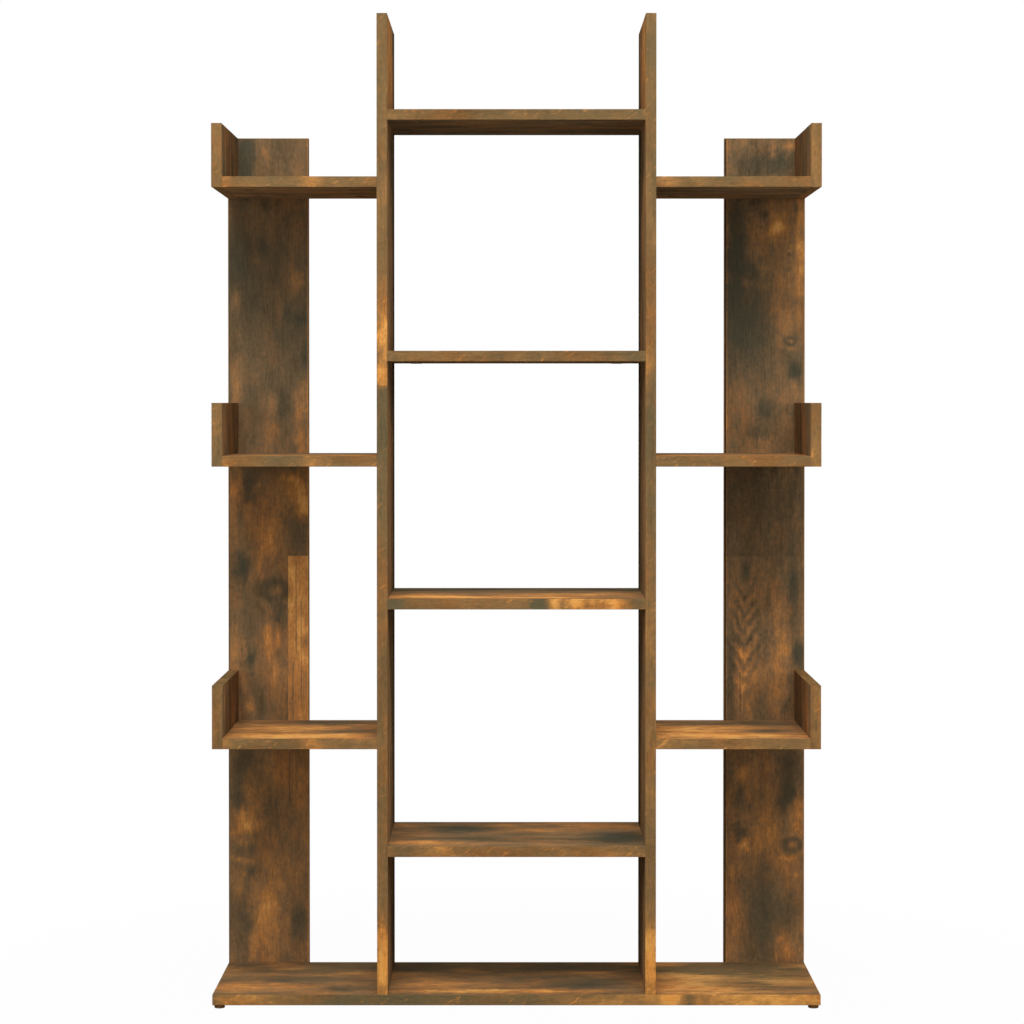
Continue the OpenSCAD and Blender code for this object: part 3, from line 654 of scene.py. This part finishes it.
def grain_place(sh, place, along, ends=None):
    """place with its axes in the order across, across, along the grain.

    Where the surface faces along the grain, the axis named by ends takes the grain's place, as on
    the short edging strips of a board.
    """
    parts = sh.add("ShaderNodeSeparateXYZ", place).outputs
    axis = {"x": 0, "y": 1, "z": 2}

    def ordered(name):
        across = [parts[number] for key, number in axis.items() if key != name]
        return sh.add("ShaderNodeCombineXYZ", *across, parts[axis[name]]).outputs[0]

    main = ordered(along)
    if ends is None:
        return main
    normal = sh.add("ShaderNodeSeparateXYZ", sh.add("ShaderNodeNewGeometry").outputs["Normal"])
    share = sh.math("ABSOLUTE", normal.outputs[axis[along]])
    facing = sh.math("GREATER_THAN", share, FACING_SHARE)
    return sh.mix(facing, main, ordered(ends), kind="VECTOR")


def oak_tone(sh, marks, lift, blotch, texture):
    """The tone of the decor by its random marks alone."""
    tone = sh.swing(marks["broad"], blotch, OAK_TONE + lift)
    for kind, share in FINER_SHARES.items():
        tone = sh.math("ADD", tone, sh.swing(marks[kind], share * texture))
    return tone


def paint_rear_shade(sh, place, tone, painted_rear_shade):
    """Painted shade towards the rear of the uprights' inner faces: the lowered tone, and the shade
    factor.
    """
    aside, depth, _ = sh.add("ShaderNodeSeparateXYZ", place).outputs
    inner = sh.step(sh.math("ABSOLUTE", aside), *INNER_FACE, painted_rear_shade, 0.0)
    tone = sh.math("MULTIPLY_ADD", sh.step(depth, *REAR_SHADE_TONE_REACH, 0.0, -1.0), inner, tone)
    fall = sh.step(depth, *REAR_REACH, 0.0, REAR_SHADE)
    return tone, sh.math("MULTIPLY_ADD", fall, inner, 1.0)


def add_flecks(sh, place, tone, mossy, flecks):
    """Adds short slanted light marks to the tone, and clears the moss there."""
    slanted = sh.add("ShaderNodeVectorRotate", place, rotation_type="Y_AXIS")
    sh.put(slanted.inputs["Angle"], FLECK_SLANT)
    speck = sh.noise(slanted.outputs[0], *OAK_NOISE["fleck"]).outputs[0]
    speck = sh.step(speck, *FLECK_LEVELS)
    tone = sh.math("MULTIPLY_ADD", speck, flecks, tone)
    return tone, sh.math("MULTIPLY_ADD", speck, FLECK_MOSS * flecks, mossy)


def add_rust(sh, grain, colour, rust):
    """Turns the colour reddish in parts."""
    rusty = sh.noise(grain, *OAK_NOISE["rust"]).outputs["Color"]
    rusty = sh.add("ShaderNodeSeparateColor", rusty).outputs[1]
    rusty = sh.math("MULTIPLY", sh.step(rusty, *RUST_LEVELS), rust)
    return sh.mix(1.0, colour, sh.mix(rusty, WHITE, linear(RUST_TINT)), blend="MULTIPLY")


def add_moss(sh, colour, mossy, tint):
    """Covers the colour with a greyish green tint where it is mossy."""
    cover = sh.math("MULTIPLY", sh.step(mossy, *MOSS_LEVELS), MOSS_COVER)
    return sh.mix(cover, colour, linear(tint))


def add_shade(sh, marks, colour, rear_shade):
    """Darkens the colour in the pores, in the fine grain and by the painted shade at the rear."""
    pore_shade = sh.step(marks["pores"], *PORE_SHADE)
    shade = sh.math("MULTIPLY", pore_shade, sh.step(marks["fine"], *FINE_SHADE))
    shade = sh.math("MULTIPLY", shade, rear_shade)
    grey = sh.add("ShaderNodeCombineColor", shade, shade, shade).outputs[0]
    return sh.mix(1.0, colour, grey, blend="MULTIPLY")


def oak_surface(sh, marks, colour):
    """The finished decor from its colour and the relief of its marks."""
    roughness = sh.math("MULTIPLY_ADD", marks["streak"], *OAK_ROUGHNESS)
    fine_height = sh.math("MULTIPLY", marks["fine"], FINE_HEIGHT)
    height = sh.math("MULTIPLY_ADD", marks["pores"], PORE_HEIGHT, fine_height)
    return sh.finish(colour, roughness, sh.bump(height, *OAK_BUMP), specular=0.0)


def oak(name, along, ends=None, seed=0.0, lift=0.0, moss=0.0, blotch=1.0, texture=1.0,
        painted_rear_shade=0.0, flecks=0.0, rust=0.0, level=False, patches=(), planks=(), knots=(),
        chevrons=()):
    """Smoked-oak decor whose grain runs along an axis.

    ends is given for edging strips: it names the axis of the grain where a strip faces along. lift
    raises the tone and moss the share of greyish green, blotch is the strength of the broad random
    blotches and texture that of the finer marks, painted_rear_shade how dark painted shade makes
    inner faces towards the rear, flecks how light the short slanted marks are and rust how reddish
    the warm parts turn. Patches, planks, knots and chevrons are placed features, some patches and
    lines of which are painted light and shade, and level says that the patches lie on level faces.
    """
    sh = new_shader(name)
    place = sh.place()
    ragged = sh.noise(place, *OAK_NOISE["ragged"]).outputs["Color"]
    ragged = sh.wander(ragged, LEVEL_RAGGED if level else UPRIGHT_RAGGED)
    ragged_place = sh.vector("ADD", place, ragged)
    wavy_place = sh.vector("MULTIPLY_ADD", ragged, [WAVY_SHARE] * 3, place)
    arch_place = sh.vector("MULTIPLY_ADD", ragged, [ARCH_WAVY_SHARE] * 3, place)

    bent, tone_shift, moss_shift = bend_round_knots(sh, place, wavy_place, knots)
    grain = grain_place(sh, bent, along, ends)
    grain = sh.vector("ADD", grain, [seed * share for share in SEED_SHARES])
    grain, tone_shift, moss_shift = add_planks(sh, place, grain, tone_shift, moss_shift, planks)
    sway = sh.noise(grain, *OAK_NOISE["sway"]).outputs["Color"]
    grain = sh.vector("ADD", grain, sh.wander(sway, SWAY_REACH))
    marks = {kind: sh.noise(grain, *OAK_NOISE[kind]).outputs[0] for kind in OAK_MARKS}

    tone = sh.math("ADD", oak_tone(sh, marks, lift, blotch, texture), tone_shift)
    mossy = sh.swing(marks["mossy"], MOSS_SWING * blotch, OAK_MOSS + moss)
    mossy = sh.math("ADD", mossy, moss_shift)
    mossy = sh.math("ADD", mossy, sh.swing(marks["streak"], STREAK_MOSS))
    strength = sh.math("MULTIPLY_ADD", marks["cloud"], *PATCH_STRENGTH)
    tone, mossy = add_patches(sh, ragged_place, wavy_place, strength, tone, mossy, patches)
    tone = add_arches(sh, arch_place, tone, chevrons)
    # Painted shade towards the rear of the uprights' inner faces, on boards that are given it
    rear_shade = 1.0
    if painted_rear_shade:
        tone, rear_shade = paint_rear_shade(sh, place, tone, painted_rear_shade)
    if flecks:
        tone, mossy = add_flecks(sh, place, tone, mossy, flecks)

    colour = sh.ramp(tone, EDGE_TONES if ends else FACE_TONES)
    if rust:
        colour = add_rust(sh, grain, colour, rust)
    colour = add_moss(sh, colour, mossy, EDGE_MOSS if ends else FACE_MOSS)
    colour = add_shade(sh, marks, colour, rear_shade)
    return oak_surface(sh, marks, colour)


def two_tones(sh, factor, dark, light):
    """A colour between dark and light."""
    return sh.ramp(factor, tuple(zip(TONE_PLACES, (dark, light))))


def brown_plastic(name, dark, light):
    """Matt moulded plastic."""
    sh = new_shader(name)
    speck = sh.noise(sh.place(), *PLASTIC_NOISE).outputs[0]
    roughness = sh.math("MULTIPLY_ADD", speck, *PLASTIC_ROUGHNESS)
    normal = sh.bump(speck, *PLASTIC_BUMP)
    return sh.finish(two_tones(sh, speck, dark, light), roughness, normal, specular=0.0)


def plated(name, dark, light, roughness):
    """Plated metal with fine turning marks."""
    sh = new_shader(name)
    marks = sh.noise(sh.place(), *TURNING_NOISE).outputs[0]
    rough = sh.math("MULTIPLY_ADD", marks, PLATED_SPREAD, roughness)
    normal = sh.bump(marks, *PLATED_BUMP)
    return sh.finish(two_tones(sh, marks, dark, light), rough, normal, metallic=1.0)


def beech():
    """Bare beech of the dowels."""
    sh = new_shader("beech")
    grain = sh.noise(sh.place(), *BEECH_NOISE).outputs[0]
    roughness = sh.math("MULTIPLY_ADD", grain, *BEECH_ROUGHNESS)
    normal = sh.bump(grain, *BEECH_BUMP)
    return sh.finish(two_tones(sh, grain, *BEECH_TONES), roughness, normal)


def dress(names, material):
    """Gives nodes a material."""
    for name in names:
        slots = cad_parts[name].data.materials
        slots.clear()
        slots.append(material)


def dress_faces(upright, lips, flat):
    """Decor on the faces of the boards."""
    # The uprights get painted shade towards the rear of their inner faces, and painted light at
    # their tops
    upright_oak = oak("upright_oak", "z", seed=3.1, lift=0.07, painted_rear_shade=0.28, rust=0.5,
                      patches=standing(UPRIGHT_PATCHES))
    lip_oak = oak("lip_oak", "z", seed=5.3, lift=0.03, rust=0.8)
    # The level boards' tops get painted light, and one top painted shade at its rear, from their
    # patches
    shelf_oak = oak("shelf_oak", "x", seed=1.2, blotch=0.85, texture=0.7, rust=0.5, level=True,
                    patches=lying(TOP_PATCHES))
    # The back panels' planks include dark lines of painted shade along their edges
    left_oak = oak("left_panel_oak", "z", seed=8.4, moss=0.05, blotch=0.45, rust=0.4,
                   patches=standing(LEFT_PANEL_PATCHES), planks=LEFT_PANEL_PLANKS,
                   knots=LEFT_PANEL_KNOTS)
    right_oak = oak("right_panel_oak", "z", seed=9.7, blotch=0.45, texture=1.2, rust=0.5,
                    patches=standing(RIGHT_PANEL_PATCHES), planks=RIGHT_PANEL_PLANKS,
                    knots=RIGHT_PANEL_KNOTS, chevrons=RIGHT_PANEL_ARCHES)
    dress(upright, upright_oak)
    dress(lips, lip_oak)
    dress(flat, shelf_oak)
    dress(["left_back_panel"], left_oak)
    dress(["right_back_panel"], right_oak)


def dress_edging(vertical, flat, panels):
    """Decor on the strips on the boards' edges."""
    vertical_oak = oak("upright_edge_oak", "z", "y", seed=2.2, lift=0.03, moss=0.25, blotch=0.6,
                       flecks=0.16, rust=0.8, patches=standing(VERTICAL_EDGE_PATCHES),
                       planks=UPRIGHT_EDGE_PLANKS)
    shelf_oak = oak("shelf_edge_oak", "x", "y", seed=4.6, lift=0.035, moss=0.18, blotch=0.6,
                    flecks=0.22, rust=0.9, patches=standing(SHELF_EDGE_PATCHES))
    panel_oak = oak("panel_edge_oak", "z", "x", seed=6.5, lift=0.15)
    for group, material in ((vertical, vertical_oak), (flat, shelf_oak), (panels, panel_oak)):
        dress([f"{name}_edging" for name in group], material)


def dress_boards():
    """Decor on the boards and the strips on their edges."""
    boards = [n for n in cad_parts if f"{n}_edging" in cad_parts]
    upright = [n for n in boards if n.endswith("_upright")]
    lips = [n for n in boards if "_end_lip_" in n]
    flat = [n for n in boards if "_shelf_" in n or n == "base_panel"]
    panels = [n for n in boards if n.endswith("_back_panel")]
    dress_faces(upright, lips, flat)
    dress_edging(upright + lips, flat, panels)


def dress_fittings():
    """Materials of the fittings, by how the names of their nodes end."""
    zinc = plated("zinc", (120, 120, 122), (168, 168, 170), 0.38)
    steel = plated("steel", (150, 148, 142), (196, 194, 188), 0.28)
    groups = {
        "cams": zinc,
        "bolts": steel,
        "screws": steel,
        "nails": steel,
        "dowels": beech(),
        "caps": brown_plastic("cap_plastic", (112, 82, 52), (128, 94, 60)),
        "feet": brown_plastic("glide_plastic", (104, 76, 50), (126, 92, 60)),
    }
    for ending, material in groups.items():
        dress([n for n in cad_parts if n.endswith(ending)], material)


def add_object(name, data):
    """A new object in the scene that holds data."""
    item = bpy.data.objects.new(name, data)
    bpy.context.scene.collection.objects.link(item)
    return item


def add_camera():
    """The camera that the picture is taken with."""
    data = bpy.data.cameras.new("camera")
    data.lens = CAMERA_LENS
    data.shift_x, data.shift_y = CAMERA_SHIFT
    camera = add_object("camera", data)
    camera.location = CAMERA_PLACE
    camera.rotation_euler = (math.radians(90.0) - CAMERA_TILT, 0.0, 0.0)
    bpy.context.scene.camera = camera


def add_lamp(name, place, size, power):
    """A soft rectangular lamp at place that faces the middle of the bookcase."""
    data = bpy.data.lights.new(name, "AREA")
    data.shape = "RECTANGLE"
    data.size, data.size_y = size
    data.energy = power
    lamp = add_object(name, data)
    lamp.location = place
    facing = Vector(LAMP_TARGET) - Vector(place)
    lamp.rotation_euler = facing.to_track_quat("-Z", "Y").to_euler()


def seen_share(sh):
    """One for camera, glossy and transmission rays, which see the white surroundings."""
    rays = sh.add("ShaderNodeLightPath").outputs
    seen = sh.math("MAXIMUM", rays["Is Camera Ray"], rays["Is Glossy Ray"])
    return sh.math("MAXIMUM", seen, rays["Is Transmission Ray"])


def add_world():
    """A white world that lights the object softly."""
    world = bpy.data.worlds.new("surroundings")
    bpy.context.scene.world = world
    sh = Shader(world)
    soft = sh.add("ShaderNodeBackground", WHITE, WORLD_LIGHT)
    white = sh.add("ShaderNodeBackground", WHITE, 1.0)
    both = sh.add("ShaderNodeMixShader", seen_share(sh), soft.outputs[0], white.outputs[0])
    sh.output("ShaderNodeOutputWorld", both)


def pale_floor():
    """A floor that is seen as white, with a trace of the object's shadow round its middle."""
    sh = new_shader("pale_floor")
    pale = sh.add("ShaderNodeBsdfDiffuse", linear(FLOOR_COLOUR))
    glow = sh.add("ShaderNodeEmission", WHITE, 1.0)
    distance = sh.vector("LENGTH", sh.place())
    away = sh.step(distance, *SHADOW_REACH, 1.0 - SHADOW_SHARE, 1.0)
    share = sh.math("MULTIPLY", seen_share(sh), away)
    both = sh.add("ShaderNodeMixShader", share, pale.outputs[0], glow.outputs[0])
    sh.output("ShaderNodeOutputMaterial", both)
    return sh.owner


def add_floor():
    """A level floor under the bookcase."""
    mesh = bpy.data.meshes.new("floor")
    half = FLOOR_HALF
    corners = [(-half, -half, 0.0), (half, -half, 0.0), (half, half, 0.0), (-half, half, 0.0)]
    mesh.from_pydata(corners, [], [(0, 1, 2, 3)])
    mesh.materials.append(pale_floor())
    floor = add_object("floor", mesh)


dress_boards()
dress_fittings()
add_camera()
for lamp_row in LAMPS:
    add_lamp(*lamp_row)
add_world()
add_floor()
bpy.context.scene.view_settings.view_transform = "Standard"
